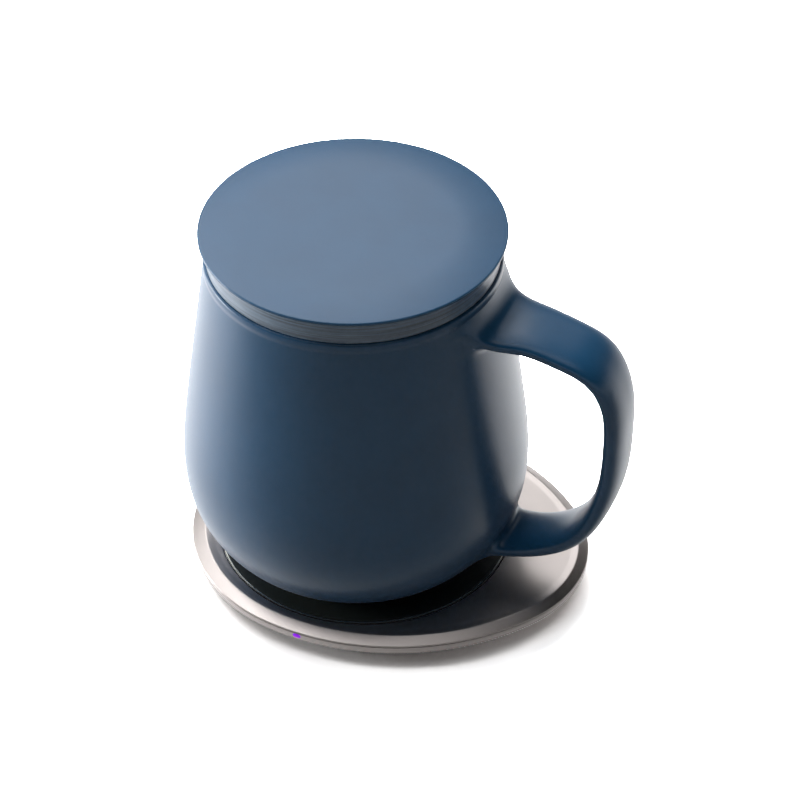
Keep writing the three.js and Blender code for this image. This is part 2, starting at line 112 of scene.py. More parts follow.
def baked(obj):
    """Replaces the object's mesh with what its modifiers make of it."""
    graph = bpy.context.evaluated_depsgraph_get()
    mesh = bpy.data.meshes.new_from_object(obj.evaluated_get(graph))
    obj.modifiers.clear()
    obj.data = mesh


def cut(obj, *tools, operation="DIFFERENCE"):
    for tool in tools:
        modifier = obj.modifiers.new("cut", "BOOLEAN")
        modifier.operation = operation
        modifier.object = tool
        modifier.solver = "EXACT"
        baked(obj)
        bpy.data.objects.remove(tool)


def rounded(corners, steps=6, closed=True):
    """A profile from (across, height, fillet) corners, each turned into an arc of that radius."""
    points = []
    count = len(corners)
    for i, (x, y, radius) in enumerate(corners):
        here = Vector((x, y))
        if radius <= 0 or (not closed and i in (0, count - 1)):
            points.append(here)
            continue
        before = Vector(corners[i - 1][:2])
        after = Vector(corners[(i + 1) % count][:2])
        a, b = (before - here), (after - here)
        half = a.angle(b) / 2
        reach = min(radius / math.tan(half), 0.48 * a.length, 0.48 * b.length)
        start = here + a.normalized() * reach
        end = here + b.normalized() * reach
        centre = here + (a.normalized() + b.normalized()).normalized() * (reach / math.cos(half))
        first, last = start - centre, end - centre
        swing = first.angle_signed(last)
        for step in range(steps + 1):
            share = step / steps
            points.append(centre + Matrix.Rotation(-swing * share, 2) @ first)
    return points


def spun(name, profile, axis, steps=192):
    """A turned piece: the profile's (radius, height) points carried round a vertical axis."""
    vertices, rings = [], []
    for radius, height in profile:
        if radius < 1e-7:
            rings.append([len(vertices)] * steps)
            vertices.append((axis[0], axis[1], height))
            continue
        rings.append(list(range(len(vertices), len(vertices) + steps)))
        for step in range(steps):
            turn = 2 * math.pi * step / steps
            vertices.append((axis[0] + radius * math.cos(turn), axis[1] + radius * math.sin(turn), height))
    return mesh_object(name, vertices, ring_faces(rings, steps))


def ring_faces(rings, steps):
    """Quads between each ring and the next, round to the first; a pole's quads become triangles."""
    faces = []
    for i, ring in enumerate(rings):
        other = rings[(i + 1) % len(rings)]
        for step in range(steps):
            after = (step + 1) % steps
            face = [ring[step], ring[after], other[after], other[step]]
            face = [v for j, v in enumerate(face) if v != face[j - 1]]
            if len(face) > 2:
                faces.append(face)
    return faces


def spline(knots, values):
    """A natural cubic spline through the values at the knots."""
    x, y = np.array(knots, float), np.array(values, float)
    n = len(x)
    h = np.diff(x)
    matrix, right = np.eye(n), np.zeros(n)
    for i in range(1, n - 1):
        matrix[i, i - 1 : i + 2] = h[i - 1], 2 * (h[i - 1] + h[i]), h[i]
        right[i] = 6 * ((y[i + 1] - y[i]) / h[i] - (y[i] - y[i - 1]) / h[i - 1])
    bend = np.linalg.solve(matrix, right)

    def at(t):
        t = np.asarray(t, float)
        i = np.clip(np.searchsorted(x, t) - 1, 0, n - 2)
        a, b, w = x[i + 1] - t, t - x[i], h[i]
        curve = (bend[i] * a**3 + bend[i + 1] * b**3) / (6 * w)
        return curve + (y[i] / w - bend[i] * w / 6) * a + (y[i + 1] / w - bend[i + 1] * w / 6) * b

    return at


# Materials
def material(name, colour, roughness, metallic=0.0):
    mat = bpy.data.materials.new(name)
    mat.use_nodes = True
    shader = mat.node_tree.nodes["Principled BSDF"]
    shader.inputs["Base Color"].default_value = (*colour, 1)
    shader.inputs["Roughness"].default_value = roughness
    shader.inputs["Metallic"].default_value = metallic
    return mat, mat.node_tree, shader


def noise(tree, scale, detail=3.0, stretch=None):
    """Noise in the object's own space, with scale in features per metre."""
    place = tree.nodes.new("ShaderNodeTexCoord")
    out = tree.nodes.new("ShaderNodeTexNoise")
    out.inputs["Scale"].default_value = scale
    out.inputs["Detail"].default_value = detail
    source = place.outputs["Object"]
    if stretch:
        mapping = tree.nodes.new("ShaderNodeMapping")
        mapping.inputs["Scale"].default_value = stretch
        tree.links.new(source, mapping.inputs["Vector"])
        source = mapping.outputs["Vector"]
    tree.links.new(source, out.inputs["Vector"])
    return out.outputs["Fac"]


def ramp(tree, source, low_value, high_value, start=0.35, end=0.65):
    """A grey or colour that runs from one value to the other over a stretch of the source."""
    node = tree.nodes.new("ShaderNodeValToRGB")
    ends = node.color_ramp.elements
    ends[0].position, ends[1].position = start, end
    for element, value in zip(ends, (low_value, high_value)):
        rgb = value if isinstance(value, tuple) else (value,) * 3
        element.color = (*rgb, 1)
    tree.links.new(source, node.inputs["Fac"])
    return node.outputs["Color"]


def summed(tree, *sources):
    """The sum of (output, factor) pairs, where a factor is a number or another output."""
    total = None
    for source, factor in sources:
        times = tree.nodes.new("ShaderNodeMath")
        times.operation = "MULTIPLY_ADD"
        tree.links.new(source, times.inputs[0])
        times.inputs[2].default_value = 0
        if isinstance(factor, bpy.types.NodeSocket):
            tree.links.new(factor, times.inputs[1])
        else:
            times.inputs[1].default_value = factor
        if total:
            tree.links.new(total, times.inputs[2])
        total = times.outputs["Value"]
    return total


def place_of(tree):
    place = tree.nodes.new("ShaderNodeSeparateXYZ")
    tree.links.new(tree.nodes.new("ShaderNodeTexCoord").outputs["Object"], place.inputs["Vector"])
    return place.outputs


def stepped(tree, source, start, end, first=0.0, last=1.0):
    """Runs smoothly from the first value to the last as the source goes from start to end."""
    step = tree.nodes.new("ShaderNodeMapRange")
    step.interpolation_type = "SMOOTHSTEP"
    for name, value in (("From Min", start), ("From Max", end), ("To Min", first), ("To Max", last)):
        step.inputs[name].default_value = value
    tree.links.new(source, step.inputs["Value"])
    return step.outputs["Result"]


def overlay(tree, shader, inside, colour):
    """Lays another colour over the shader's own where inside is one."""
    mix = tree.nodes.new("ShaderNodeMixRGB")
    tree.links.new(inside, mix.inputs["Fac"])
    tree.links.new(shader.inputs["Base Color"].links[0].from_socket, mix.inputs["Color1"])
    tree.links.new(colour, mix.inputs["Color2"])
    tree.links.new(mix.outputs["Color"], shader.inputs["Base Color"])


def reach_from_axis(tree, middle=0.0, half_x=1.0, half_y=1.0):
    """How far out a place is from an upright axis, in shares of the two half widths."""
    spread = tree.nodes.new("ShaderNodeMapping")
    spread.inputs["Location"].default_value = (-middle / half_x, 0, 0)
    spread.inputs["Scale"].default_value = (1 / half_x, 1 / half_y, 0)
    tree.links.new(tree.nodes.new("ShaderNodeTexCoord").outputs["Object"], spread.inputs["Vector"])
    length = tree.nodes.new("ShaderNodeVectorMath")
    length.operation = "LENGTH"
    tree.links.new(spread.outputs["Vector"], length.inputs[0])
    return length.outputs["Value"]


def bump(tree, shader, source, height, strength):
    node = tree.nodes.new("ShaderNodeBump")
    node.inputs["Strength"].default_value = strength
    node.inputs["Distance"].default_value = height
    tree.links.new(source, node.inputs["Height"])
    tree.links.new(node.outputs["Normal"], shader.inputs["Normal"])


def tinted(colour, share):
    return tuple(min(1.0, c * share) for c in colour)


def surface(name, colour, roughness, metallic=0.0, mottle=0.06, mottle_scale=55, grain_scale=1500,
            grain_height=0.00002, rough_spread=0.05, grain_strength=0.25):
    """A finish with slight colour mottling, uneven gloss and a fine surface grain."""
    mat, tree, shader = material(name, colour, roughness, metallic)
    broad = noise(tree, mottle_scale, 4)
    tree.links.new(ramp(tree, broad, tinted(colour, 1 - mottle), tinted(colour, 1 + mottle)),
                   shader.inputs["Base Color"])
    fine = noise(tree, grain_scale, 3)
    tree.links.new(ramp(tree, fine, roughness - rough_spread, roughness + rough_spread),
                   shader.inputs["Roughness"])
    bump(tree, shader, fine, grain_height, grain_strength)
    return mat


GLAZE = (0.007, 0.084, 0.2)
# Pale grey-blue of the painted sheen on the lid's skirt, standing in for reflected light
SKIRT_SHEEN_PAINT = (0.25, 0.34, 0.45)
RING_BRIGHT = (0.3, 0.31, 0.28), (0.38, 0.39, 0.35)
LENS_DARK = (0.03, 0.004, 0.08)
LENS_PINK = (0.8, 0.03, 0.9)
LENS_VIOLET = (0.26, 0.001, 0.8)

# Each slot's colour, roughness and metallic share, and what differs from the usual grain and mottling
FINISHES = {
    "rose_metal": ((0.44, 0.405, 0.391), 0.38, 1, dict(mottle=0.03, grain_scale=5200, grain_height=0.00001,
                                                       rough_spread=0.04)),
    "silver_film": ((0.5, 0.51, 0.53), 0.35, 1, dict(mottle=0.08, grain_scale=2500)),
    "dark_silicone": ((0.015, 0.02, 0.03), 0.7, 0, dict(mottle=0.1)),
    "foot_silicone": ((0.018, 0.019, 0.021), 0.8, 0, dict(mottle=0.12)),
    "black_plate": ((0.011, 0.013, 0.012), 0.42, 0, dict(mottle=0.08, grain_scale=3500)),
    "ring_black": ((0.022, 0.024, 0.025), 0.22, 0, dict(mottle=0.1, grain_scale=3500)),
    "glue": ((0.02, 0.02, 0.02), 0.8, 0, dict(mottle=0.2)),
    "carrier_plastic": ((0.62, 0.6, 0.55), 0.5, 0, dict(mottle=0.04)),
    "ferrite": ((0.03, 0.03, 0.033), 0.65, 0, dict(mottle=0.25, mottle_scale=300)),
    "copper_wire": ((0.62, 0.2, 0.08), 0.3, 1, dict(mottle=0.12, mottle_scale=400)),
    "shield_sheet": ((0.58, 0.42, 0.16), 0.55, 0, dict(mottle=0.1, mottle_scale=200)),
    "chip_black": ((0.012, 0.012, 0.013), 0.55, 0, dict(mottle=0.15, mottle_scale=500)),
    "board_green": ((0.012, 0.1, 0.04), 0.35, 0, dict(mottle=0.25, mottle_scale=700)),
    "capacitor_tan": ((0.36, 0.22, 0.1), 0.5, 0, dict(mottle=0.08, mottle_scale=500)),
    "socket_steel": ((0.6, 0.6, 0.61), 0.28, 1, dict(mottle=0.05, grain_scale=4000)),
    "screw_steel": ((0.3, 0.31, 0.33), 0.35, 1, dict(mottle=0.08, grain_scale=4000)),
}


def finished(slot_name):
    colour, roughness, metallic, grain = FINISHES[slot_name]
    return surface(slot_name, colour, roughness, metallic, **grain)


def navy_glaze():
    mat = surface("navy_glaze", GLAZE, 0.31, mottle=0.05, grain_scale=2600, grain_height=0.000008,
                  rough_spread=0.02)
    shader = mat.node_tree.nodes["Principled BSDF"]
    shader.inputs["IOR"].default_value = 1.5
    shader.inputs["Sheen Weight"].default_value = 0.15
    shader.inputs["Sheen Roughness"].default_value = 0.5
    return mat


def black_plate():
    """The disc's soft-touch coat, which catches a faint green-grey sheen at a low angle."""
    mat = finished("black_plate")
    shader = mat.node_tree.nodes["Principled BSDF"]
    shader.inputs["Sheen Weight"].default_value = 0.5
    shader.inputs["Sheen Roughness"].default_value = 0.35
    shader.inputs["Sheen Tint"].default_value = (0.8, 1, 0.86, 1)
    return mat


def light_lens():
    """A lit lens: violet at its top and pinker towards its lower edge, under a glossy face."""
    mat, tree, shader = material("light_purple", LENS_DARK, 0.12)
    lower, upper = low("light_guide").z, high("light_guide").z
    share = stepped(tree, place_of(tree)["Z"], lower, (lower + upper) / 2)
    tree.links.new(ramp(tree, share, LENS_PINK, LENS_VIOLET, 0.1, 0.9), shader.inputs["Emission Color"])
    tree.links.new(ramp(tree, noise(tree, 900, 2), 0.8, 1.0), shader.inputs["Emission Strength"])
    return mat


SPECIAL = {"navy_glaze": navy_glaze(), "black_plate": black_plate(), "light_purple": light_lens()}
MATERIALS = {**{name: finished(name) for name in FINISHES if name not in SPECIAL}, **SPECIAL}


def dress(obj, slot_name, body, *nodes, finish=None):
    """Gives a new piece its material, from its record slot unless a finish is given, puts it under its
    body and hides the nodes it stands for.
    """
    obj.data.materials.clear()
    obj.data.materials.append(finish or MATERIALS[slot_name])
    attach(obj, body)
    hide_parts(*nodes)
    return obj


def dress_frame():
    """Carried-over solids get their slot's material."""
    slots = {row["node"]: row["material_slot"] for row in frame["record"]["subparts"]}
    for name, obj in frame["nodes"].items():
        obj.data.materials.clear()
        obj.data.materials.append(MATERIALS[slots[name]])


# The pad's outline, drawn in by an inset, as the solids have it
TAIL_RADIUS = PLATE_RADIUS + 5.86 * MM
NOSE_RADIUS = PLATE_RADIUS - 5.25 * MM
SIDE_RADIUS = PLATE_RADIUS + 27 * MM
TAIL_CENTRE = -2.54 * MM
NOSE_CENTRE = 28.26 * MM
CENTRE_SPAN = NOSE_CENTRE - TAIL_CENTRE
TO_TAIL = SIDE_RADIUS - TAIL_RADIUS
TO_NOSE = SIDE_RADIUS - NOSE_RADIUS
SIDE_ALONG = (TO_TAIL**2 - TO_NOSE**2 + CENTRE_SPAN**2) / (2 * CENTRE_SPAN)
SIDE_X = TAIL_CENTRE + SIDE_ALONG
SIDE_Y = math.sqrt(TO_TAIL**2 - SIDE_ALONG**2)
NOSE_JOIN = math.atan2(SIDE_Y, NOSE_CENTRE - SIDE_X)
TAIL_JOIN = math.atan2(SIDE_Y, TAIL_CENTRE - SIDE_X)


def outline_point(bearing, inset):
    turn = math.atan2(math.sin(bearing), math.cos(bearing))
    side = 1 if turn >= 0 else -1
    if abs(turn) <= NOSE_JOIN:
        x, y, radius = NOSE_CENTRE, 0, NOSE_RADIUS
    elif abs(turn) >= TAIL_JOIN:
        x, y, radius = TAIL_CENTRE, 0, TAIL_RADIUS
    else:
        x, y, radius = SIDE_X, -side * SIDE_Y, SIDE_RADIUS
    return Vector((x + (radius - inset) * math.cos(turn), y + (radius - inset) * math.sin(turn)))


def round_pad(name, places, middle=(), steps=288):
    """A closed skin through places (function of bearing, height), and heights on the axis to close it."""
    vertices, rings = [], []
    for place, height in places:
        rings.append(list(range(len(vertices), len(vertices) + steps)))
        for step in range(steps):
            spot = place(2 * math.pi * step / steps)
            vertices.append((spot.x, spot.y, height))
    for height in middle:
        rings.append([len(vertices)] * steps)
        vertices.append((0, 0, height))
    return mesh_object(name, vertices, ring_faces(rings, steps))


def inset_by(inset, lean=0.0):
    """Places drawn in from the outline, less so towards the nose where they lean."""
    return lambda bearing: outline_point(bearing, inset - lean * math.cos(bearing))


def circle_of(radius):
    return lambda bearing: Vector((math.cos(bearing), math.sin(bearing))) * radius


def between(outer, inner, share):
    return lambda bearing: outer(bearing).lerp(inner(bearing), share)


def at_bearing(obj, degrees):
    """Moves a mesh made at the origin, facing +Y, to stand square to the outline there."""
    bearing = math.radians(degrees)
    spot = outline_point(bearing, 0)
    turn = Matrix.Rotation(bearing - math.pi / 2, 4, "Z")
    obj.data.transform(Matrix.Translation((spot.x, spot.y, 0)) @ turn)
    return obj


# Pad
CHAMFER = 3.15 * MM
CHAMFER_LEAN = 0.45 * MM
CREST_ROUND = 1.2 * MM
SLOPE = 2 * MM
SLOPE_ROUND = 8 * MM
WALL = 1.6 * MM
RIM_EDGE = 0.3 * MM
RIM_EDGE_ROUND = 0.35 * MM
GROOVE_DEPTH = 0.45 * MM
GROOVE_HEIGHT = 0.25 * MM
GROOVE_ROUND = 0.03 * MM
LIP = SEAM - 1.1 * MM
LIP_ROUND = 0.25 * MM
TUCK = 8 * MM
TUCK_STEPS = 16
SHELL_FLOOR = SHELL_BOTTOM + 1.2 * MM
FLOOR_LEVEL = PLATE_TOP - 0.15 * MM
FLOOR_RINGS = 8
SEAT_RADIUS = RING_OUTER + 0.2 * MM
SEAT_ROUND = 0.12 * MM
SEAT_WALL = 1.2 * MM
COVER_INSIDE = LEDGE - 0.2 * MM
OPENING_RADIUS = PLATE_RADIUS - 2.4 * MM
PLUG_GAP = 0.4 * MM
RING_INNER = PLATE_RADIUS + 0.05 * MM
RING_CHAMFER = 0.15 * MM
BRIGHT_WIDTH = 0.45 * MM
BRIGHT_FADE = 0.05 * MM
FOOT_INSET = 5.5 * MM
FOOT_ROUND = 0.4 * MM
FOOT_FLAT = 1.2 * MM
COIL_PITCH_SHARE = 2.05
LIGHT_BEARING = -97.6
LIGHT_SLOT = 2.4 * MM, 1.45 * MM
LENS = 2.3 * MM, 1.35 * MM
LENS_PROUD = 0.15 * MM
LENS_ROUND = 0.35 * MM
SOCKET_BEARING = 90
SOCKET_OPENING = 9.54 * MM, 3.8 * MM
LIGHT_LEVEL = (low("light_guide").z + high("light_guide").z) / 2
SOCKET_LEVEL = (low("usb_socket").z + high("usb_socket").z) / 2


def tray_cover():
    rim = rounded([
        (0, SEAM, 0),
        (0, SEAM + RIM_EDGE, RIM_EDGE_ROUND),
        (CHAMFER, CREST, CREST_ROUND),
        (CHAMFER + SLOPE, FLOOR_LEVEL, SLOPE_ROUND),
        (CHAMFER + 1.6 * SLOPE, FLOOR_LEVEL, 0),
    ], steps=8, closed=False)[:-1]
    places = [(inset_by(inset, CHAMFER_LEAN * min(1, inset / CHAMFER)), height) for inset, height in rim]
    floor_edge = inset_by(rim[-1].x, CHAMFER_LEAN)
    seat = circle_of(SEAT_RADIUS)
    places += [(between(floor_edge, seat, i / FLOOR_RINGS), FLOOR_LEVEL) for i in range(1, FLOOR_RINGS)]
    places += [(circle_of(radius), height) for radius, height in rounded([
        (SEAT_RADIUS + 0.5 * MM, FLOOR_LEVEL, 0),
        (SEAT_RADIUS, FLOOR_LEVEL, SEAT_ROUND),
        (SEAT_RADIUS, LEDGE, 0),
        (OPENING_RADIUS, LEDGE, 0),
        (OPENING_RADIUS, COVER_BOTTOM, 0),
        (SEAT_RADIUS + SEAT_WALL, COVER_BOTTOM, 0),
        (SEAT_RADIUS + SEAT_WALL, COVER_INSIDE, 0),
    ], steps=4, closed=False)[1:]]
    places += [(inset_by(CHAMFER + SLOPE, CHAMFER_LEAN), COVER_INSIDE), (inset_by(WALL + RIM_EDGE), SEAM)]
    return dress(round_pad("satin_cover", places), "rose_metal", "pad", "tray_cover")


def capped(rings):
    """Quads between each ring of corners and the next, with the first and last rings closed."""
    sides = len(rings[0])
    faces = [[first[i], first[(i + 1) % sides], second[(i + 1) % sides], second[i]]
             for first, second in zip(rings, rings[1:]) for i in range(sides)]
    return [*faces, rings[0][::-1], rings[-1]]


def capsule_bar(width, height, level, start, end, steps=16, round_end=0.0):
    """A bar of flat-sided oval section along Y, with its end at +Y rounded over."""
    stations = [(start, 0.0), (end - round_end, 0.0)]
    stations += [(end - round_end * (1 - math.sin(t)), round_end * (1 - math.cos(t)))
                 for t in (math.pi / 8 * k for k in range(1, 5) if round_end)]
    vertices, rings = [], []
    for y, shrink in stations:
        rings.append(list(range(len(vertices), len(vertices) + 2 * (steps + 1))))
        radius = height / 2 - shrink
        reach = (width - height) / 2
        for side in (1, -1):
            for step in range(steps + 1):
                turn = math.pi * (step / steps - 0.5)
                x, z = side * (reach + radius * math.cos(turn)), side * radius * math.sin(turn)
                vertices.append((x, y, level + z))
    return mesh_object("bar", vertices, capped(rings))


def base_shell():
    turns = [math.pi / 2 * step / TUCK_STEPS for step in range(TUCK_STEPS + 1)]
    outside = [(TUCK * (1 - math.sin(t)), LIP - (LIP - SHELL_BOTTOM) * math.cos(t)) for t in turns]
    inside = [(WALL + TUCK * (1 - math.cos(t)), LIP - (LIP - SHELL_FLOOR) * math.sin(t)) for t in turns]
    top = SEAM - GROOVE_HEIGHT
    wall = rounded([
        (0, LIP, 0),
        (0, top, LIP_ROUND),
        (GROOVE_DEPTH, top, GROOVE_ROUND),
        (GROOVE_DEPTH, SEAM, GROOVE_ROUND),
        (WALL, SEAM, 0),
    ], steps=4, closed=False)[1:]
    places = [(inset_by(inset), height) for inset, height in [*outside, *wall, *inside]]
    shell = round_pad("satin_shell", places, (SHELL_FLOOR, SHELL_BOTTOM))
    light = at_bearing(capsule_bar(*LIGHT_SLOT, LIGHT_LEVEL, -3 * MM, 3 * MM), LIGHT_BEARING)
    socket = at_bearing(capsule_bar(*SOCKET_OPENING, SOCKET_LEVEL, -6 * MM, 3 * MM), SOCKET_BEARING)
    cut(shell, light, socket)
    shade(shell)
    return dress(shell, "rose_metal", "pad", "base_shell")


def charging_plate():
    plug = OPENING_RADIUS - PLUG_GAP
    shoulder = high("plate_glue").z
    profile = rounded([
        (0, COVER_BOTTOM, 0),
        (plug, COVER_BOTTOM, 0),
        (plug, shoulder, 0),
        (PLATE_RADIUS, shoulder, 0.05 * MM),
        (PLATE_RADIUS, PLATE_TOP, 0.1 * MM),
        (0, PLATE_TOP, 0),
    ], closed=False)
    return dress(spun("warming_disc", profile, (0, 0)), "black_plate", "pad", "charging_plate")


def ring_with_bright_edge():
    """Black anodised metal, cut bright in a thin band along its inner edge."""
    mat = finished("ring_black")
    tree = mat.node_tree
    shader = tree.nodes["Principled BSDF"]
    radius = reach_from_axis(tree)
    start, end = RING_INNER, RING_INNER + BRIGHT_WIDTH
    inside = summed(tree, (stepped(tree, radius, start, start + BRIGHT_FADE),
                           stepped(tree, radius, end - BRIGHT_FADE, end, 1, 0)))
    bright = ramp(tree, noise(tree, 900, 3), *RING_BRIGHT)
    overlay(tree, shader, inside, bright)
    tree.links.new(inside, shader.inputs["Metallic"])
    return mat


def plate_ring():
    profile = rounded([
        (RING_INNER, LEDGE, 0),
        (RING_OUTER, LEDGE, 0),
        (RING_OUTER, FLOOR_LEVEL, 0.2 * MM),
        (RING_INNER + RING_CHAMFER, PLATE_TOP, 0.15 * MM),
        (RING_INNER, PLATE_TOP, 0.03 * MM),
    ])
    ring = spun("disc_ring", profile, (0, 0))
    return dress(ring, "ring_black", "pad", "plate_ring", finish=ring_with_bright_edge())


def foot_pad():
    profile = rounded([
        (FOOT_INSET, FOOT_TOP, 0),
        (FOOT_INSET, 0, FOOT_ROUND),
        (FOOT_INSET + FOOT_FLAT, 0, 0),
    ], closed=False)
    places = [(inset_by(depth), height) for depth, height in profile]
    return dress(round_pad("soft_foot", places, (0, FOOT_TOP), 192), "foot_silicone", "pad", "foot_pad")


def heating_coil(steps=96, sides=12):
    """A flat spiral of thick wire, wound from the outside in."""
    node = frame["nodes"]["heating_coil"]
    bore = min((node.matrix_world @ v.co).xy.length for v in node.data.vertices)
    bottom, top, outer = low("heating_coil").z, high("heating_coil").z, high("heating_coil").x
    wire = (top - bottom) / 2
    pitch = COIL_PITCH_SHARE * wire
    turns = int((outer - bore - 2 * wire) / pitch)
    vertices, rings = [], []
    for step in range(turns * steps + 1):
        turn = 2 * math.pi * step / steps
        rings.append(list(range(len(vertices), len(vertices) + sides)))
        for side in range(sides):
            around = 2 * math.pi * side / sides
            radius = outer - wire - pitch * turn / (2 * math.pi) + wire * math.cos(around)
            height = bottom + wire * (1 + math.sin(around))
            vertices.append((radius * math.cos(turn), radius * math.sin(turn), height))
    return dress(mesh_object("wound_coil", vertices, capped(rings)), "copper_wire", "pad", "heating_coil")


def status_light():
    bar = capsule_bar(*LENS, LIGHT_LEVEL, -4 * MM, LENS_PROUD, round_end=LENS_ROUND)
    bar.name = "light_lens"
    return dress(at_bearing(bar, LIGHT_BEARING), "light_purple", "pad", "light_guide")


# Mug
BELLY_RADIUS = MUG_AXIS.x - low("mug_body").x - 0.01 * MM
BELLY_HEIGHT = MUG_HEIGHT * 0.32
MOUTH_RADIUS = BELLY_RADIUS * 0.8255
FOOT_RADIUS = BELLY_RADIUS * 0.65
BOWL_POWER = 2.43
BOWL_ROOT = 0.77
SHOULDER_BEND = 0.13
MUG_WALL = 4.8 * MM
MUG_FLOOR = 5.5 * MM
RIM_ROUND = 1.2 * MM
RIM_BEAD = 0.25 * MM
RIM_BEAD_START = 3 * MM
FILM_RECESS = 0.8 * MM
FILM_ROOM = 0.6 * MM
HANDLE_TURN = math.radians(-6.3)
HANDLE_REACH = 30 * MM
STAND_OFF_SHARES = [-0.108, 0.058, 0.319, 0.615, 0.91, 1.032, 1.012, 0.916, 0.817, 0.623, 0.284, -0.152]
HANDLE_UP_SHARES = [0.925, 0.893, 0.885, 0.867, 0.826, 0.744, 0.589, 0.436, 0.346, 0.225, 0.143, 0.116]
STRAP_WIDTH = 17.1 * MM
STRAP_WIDTH_SHARES = [1.66, 1.43, 1.2, 1.13, 1.08, 0.99, 0.95, 0.98, 1.03, 1, 1.01, 1.19]
STRAP_THICKNESS = 5.8 * MM
STRAP_POWER = 2.5
BLEND = 3.6 * MM
FINEST_EDGE = 0.7 * MM
SKIN_DEPTH = 0.4 * MM
PROBE = 0.05 * MM
TINY = 1e-6


def lean_in(climb):
    """Level at the belly, then an even slope above it."""
    return np.hypot(climb, SHOULDER_BEND) - SHOULDER_BEND


def bowl_radius(height, base, base_radius, skin):
    """The mug's radius: it opens from its base to the belly and narrows to the mouth."""
    height = np.asarray(height, float)
    belly = BELLY_RADIUS - skin
    left = np.clip((BELLY_HEIGHT - height) / (BELLY_HEIGHT - base), 0, 1)
    opening = base_radius + (belly - base_radius) * (1 - left**BOWL_POWER) ** BOWL_ROOT
    climb = np.maximum((height - BELLY_HEIGHT) / (MUG_HEIGHT - BELLY_HEIGHT), 0)
    closing = belly - (BELLY_RADIUS - MOUTH_RADIUS) * lean_in(climb) / lean_in(1)
    return np.where(height < BELLY_HEIGHT, opening, closing)


def bowl_side(base, top, base_radius, skin, count=90):
    stations = base + (top - base) * (np.arange(count + 1) / count) ** 1.5
    return [(float(bowl_radius(z, base, base_radius, skin)), float(z)) for z in stations]


def mug_profile():
    top = MUG_HEIGHT - RIM_ROUND
    recess = high("heating_film").x - MUG_AXIS.x + FILM_ROOM
    outer = bowl_side(0, MUG_HEIGHT - RIM_BEAD_START - 0.4 * MM, FOOT_RADIUS, 0)
    for drop in np.linspace(RIM_BEAD_START, RIM_ROUND + 0.1 * MM, 12):
        swell = (RIM_BEAD_START - drop) / (RIM_BEAD_START - RIM_ROUND)
        radius = float(bowl_radius(MUG_HEIGHT - drop, 0, FOOT_RADIUS, 0))
        outer.append((radius + RIM_BEAD * swell**2 * (3 - 2 * swell), MUG_HEIGHT - drop))
    inner = bowl_side(MUG_FLOOR, top, FOOT_RADIUS / 2, MUG_WALL)[::-1]
    rim = rounded([
        (*outer[-1], 0),
        (MOUTH_RADIUS + RIM_BEAD, MUG_HEIGHT, RIM_ROUND),
        (MOUTH_RADIUS - MUG_WALL, MUG_HEIGHT, RIM_ROUND),
        (*inner[0], 0),
    ], steps=8, closed=False)[1:-1]
    foot = [(0, FILM_RECESS), (recess, FILM_RECESS), (recess, 0)]
    return foot + outer + [tuple(p) for p in rim] + inner + [(0, MUG_FLOOR)]


def handle_line():
    """The handle's centreline, height and half width as functions of 0 to 1 along it."""
    up = np.array(HANDLE_UP_SHARES) * MUG_HEIGHT
    out = bowl_radius(up, 0, FOOT_RADIUS, 0) + np.array(STAND_OFF_SHARES) * HANDLE_REACH
    knots = np.concatenate([[0], np.cumsum(np.hypot(np.diff(out), np.diff(up)))])
    knots /= knots[-1]
    wide = np.array(STRAP_WIDTH_SHARES) * STRAP_WIDTH / 2
    return spline(knots, out), spline(knots, up), spline(knots, wide)


OUT_AT, UP_AT, WIDE_AT = handle_line()
THICK = STRAP_THICKNESS / 2


def handle_strap(steps=150, sides=64):
    turns = 2 * math.pi * np.arange(sides) / sides
    power = 2 / STRAP_POWER
    across = np.sign(np.cos(turns)) * np.abs(np.cos(turns)) ** power
    deep = np.sign(np.sin(turns)) * np.abs(np.sin(turns)) ** power
    vertices, rings = [], []
    for step in range(steps + 1):
        s = step / steps
        ahead = np.array([OUT_AT(s + 1e-4) - OUT_AT(s - 1e-4), UP_AT(s + 1e-4) - UP_AT(s - 1e-4)])
        ahead /= np.linalg.norm(ahead)
        rings.append(list(range(len(vertices), len(vertices) + sides)))
        out = OUT_AT(s) + ahead[1] * deep * THICK
        up = UP_AT(s) - ahead[0] * deep * THICK
        vertices += list(zip(out, across * WIDE_AT(s), up))
    strap = mesh_object("strap", vertices, capped(rings))
    strap.data.transform(Matrix.Rotation(HANDLE_TURN, 4, "Z"))
    return strap


SAMPLES = np.linspace(0, 1, 600)
SAMPLE_OUT = OUT_AT(SAMPLES)
SAMPLE_UP = UP_AT(SAMPLES)


def strap_distance(points):
    """About how far each point, in the mug's own axes, is outside the strap."""
    turn = np.array([math.cos(HANDLE_TURN), math.sin(HANDLE_TURN)])
    out = points[:, 0] * turn[0] + points[:, 1] * turn[1]
    across = -points[:, 0] * turn[1] + points[:, 1] * turn[0]
    gaps = (out[:, None] - SAMPLE_OUT) ** 2 + (points[:, 2][:, None] - SAMPLE_UP) ** 2
    nearest = gaps.argmin(1)
    deep = np.sqrt(gaps[np.arange(len(points)), nearest])
    wide = WIDE_AT(SAMPLES[nearest])
    a, b = np.abs(across) / wide, deep / THICK
    level = np.maximum((a**STRAP_POWER + b**STRAP_POWER) ** (1 / STRAP_POWER), TINY)
    slope = np.hypot((a / level) ** (STRAP_POWER - 1) / wide, (b / level) ** (STRAP_POWER - 1) / THICK)
    return (level - 1) / np.maximum(slope, TINY)


def body_distance(points):
    """About how far each point is outside the mug's outer side."""
    z = points[:, 2]
    radius, above, below = (bowl_radius(z + step, 0, FOOT_RADIUS, 0) for step in (0, PROBE, -PROBE))
    lean = (above - below) / (2 * PROBE)
    return (np.hypot(points[:, 0], points[:, 1]) - radius) / np.sqrt(1 + lean**2)


def blended_distance(points):
    a, b = body_distance(points), strap_distance(points)
    near = np.maximum(BLEND - np.abs(a - b), 0) / BLEND
    return np.minimum(a, b) - near**2 * BLEND / 4


